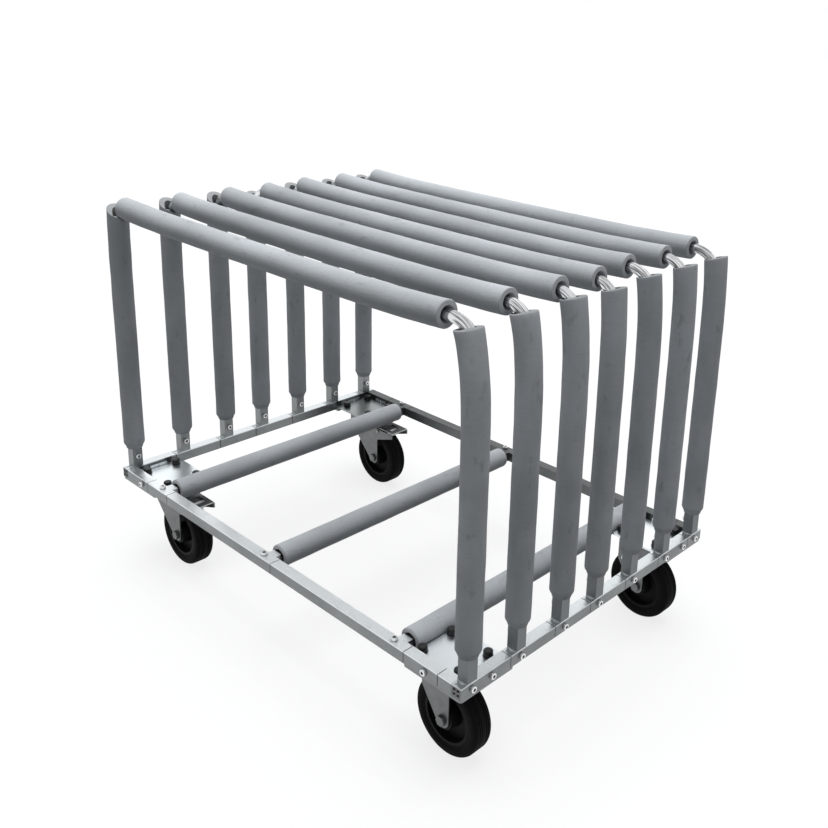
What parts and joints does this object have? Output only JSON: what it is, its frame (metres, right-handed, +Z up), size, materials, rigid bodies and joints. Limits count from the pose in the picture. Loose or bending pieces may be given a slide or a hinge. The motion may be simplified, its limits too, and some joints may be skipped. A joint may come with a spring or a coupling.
{
  "type": "glazing trolley",
  "caption": "Low trolley on casters for upright panes: a square-tube base with padded cross bars and a row of padded tube hoops that hold the panes apart.",
  "frame": {"origin": "on the floor, under the middle of the object's box", "axes": "+X along the hoops towards the fixed casters, +Y from the front rail to the rear rail, +Z up"},
  "size_m": [1.226, 0.813, 0.925],
  "materials": {
    "foam": "grey closed-cell foam pipe sleeve, matt and mottled",
    "hoop_tube": "bright zinc-plated round tube",
    "zinc_steel": "bright zinc-plated square tube",
    "zinc_plate": "bright zinc-plated steel plate",
    "caster_steel": "zinc-plated pressed steel",
    "bright_fastener": "bright plated fastener",
    "plug": "grey moulded plug",
    "cap_plastic": "black moulded cap",
    "tyre": "black solid rubber",
    "wheel_core": "black moulded wheel core"
  },
  "bodies": {
    "frame": {"hoop_1": "hoop_tube", "top_sleeve_1": "foam", "leg_sleeves_1": "foam", "hoop_2": "hoop_tube", "top_sleeve_2": "foam", "leg_sleeves_2": "foam", "hoop_3": "hoop_tube", "top_sleeve_3": "foam", "leg_sleeves_3": "foam", "hoop_4": "hoop_tube", "top_sleeve_4": "foam", "leg_sleeves_4": "foam", "hoop_5": "hoop_tube", "top_sleeve_5": "foam", "leg_sleeves_5": "foam", "hoop_6": "hoop_tube", "top_sleeve_6": "foam", "leg_sleeves_6": "foam", "hoop_7": "hoop_tube", "top_sleeve_7": "foam", "leg_sleeves_7": "foam", "left_cross_bar": "zinc_steel", "left_cross_sleeve": "foam", "middle_cross_bar": "zinc_steel", "middle_cross_sleeve": "foam", "right_cross_bar": "zinc_steel", "right_cross_sleeve": "foam", "front_rail": "zinc_steel", "rear_rail": "zinc_steel", "left_rail": "zinc_steel", "right_rail": "zinc_steel", "rail_plugs": "plug", "clamp_screws": "bright_fastener", "caster_bolts": "bright_fastener", "bolt_caps": "cap_plastic", "kingpins": "bright_fastener", "fixed_axles": "bright_fastener", "front_right_corner_plate": "zinc_plate", "front_left_corner_plate": "zinc_plate", "rear_right_corner_plate": "zinc_plate", "rear_left_corner_plate": "zinc_plate", "front_fixed_fork": "caster_steel", "front_swivel_head": "caster_steel", "rear_fixed_fork": "caster_steel", "rear_swivel_head": "caster_steel"},
    "front_swivel": {"front_swivel_fork": "caster_steel", "front_swivel_axle": "bright_fastener"},
    "front_pedal": {"front_brake_pedal": "caster_steel"},
    "rear_swivel": {"rear_swivel_fork": "caster_steel", "rear_swivel_axle": "bright_fastener"},
    "rear_pedal": {"rear_brake_pedal": "caster_steel"},
    "front_right_wheel": {"front_right_tyre": "tyre", "front_right_wheel_core": "wheel_core"},
    "front_left_wheel": {"front_left_tyre": "tyre", "front_left_wheel_core": "wheel_core"},
    "rear_right_wheel": {"rear_right_tyre": "tyre", "rear_right_wheel_core": "wheel_core"},
    "rear_left_wheel": {"rear_left_tyre": "tyre", "rear_left_wheel_core": "wheel_core"}
  },
  "joints": [
    {"name": "front_swivel", "type": "hinge", "parent": "frame", "child": "front_swivel", "pos_m": [-0.506, -0.32, 0.2], "axis": [0, 0, 1], "continuous": true},
    {"name": "front_brake", "type": "hinge", "parent": "front_swivel", "child": "front_pedal", "pos_m": [-0.424, -0.32, 0.173], "axis": [0, 1, 0], "range_deg": [0, 13]},
    {"name": "front_right_roll", "type": "hinge", "parent": "frame", "child": "front_right_wheel", "pos_m": [0.506, -0.32, 0.0825], "axis": [0, 1, 0], "continuous": true},
    {"name": "front_left_roll", "type": "hinge", "parent": "front_swivel", "child": "front_left_wheel", "pos_m": [-0.444, -0.32, 0.0825], "axis": [0, 1, 0], "continuous": true},
    {"name": "rear_swivel", "type": "hinge", "parent": "frame", "child": "rear_swivel", "pos_m": [-0.506, 0.32, 0.2], "axis": [0, 0, 1], "continuous": true},
    {"name": "rear_brake", "type": "hinge", "parent": "rear_swivel", "child": "rear_pedal", "pos_m": [-0.424, 0.32, 0.173], "axis": [0, 1, 0], "range_deg": [0, 13]},
    {"name": "rear_right_roll", "type": "hinge", "parent": "frame", "child": "rear_right_wheel", "pos_m": [0.506, 0.32, 0.0825], "axis": [0, 1, 0], "continuous": true},
    {"name": "rear_left_roll", "type": "hinge", "parent": "rear_swivel", "child": "rear_left_wheel", "pos_m": [-0.444, 0.32, 0.0825], "axis": [0, 1, 0], "continuous": true}
  ]
}
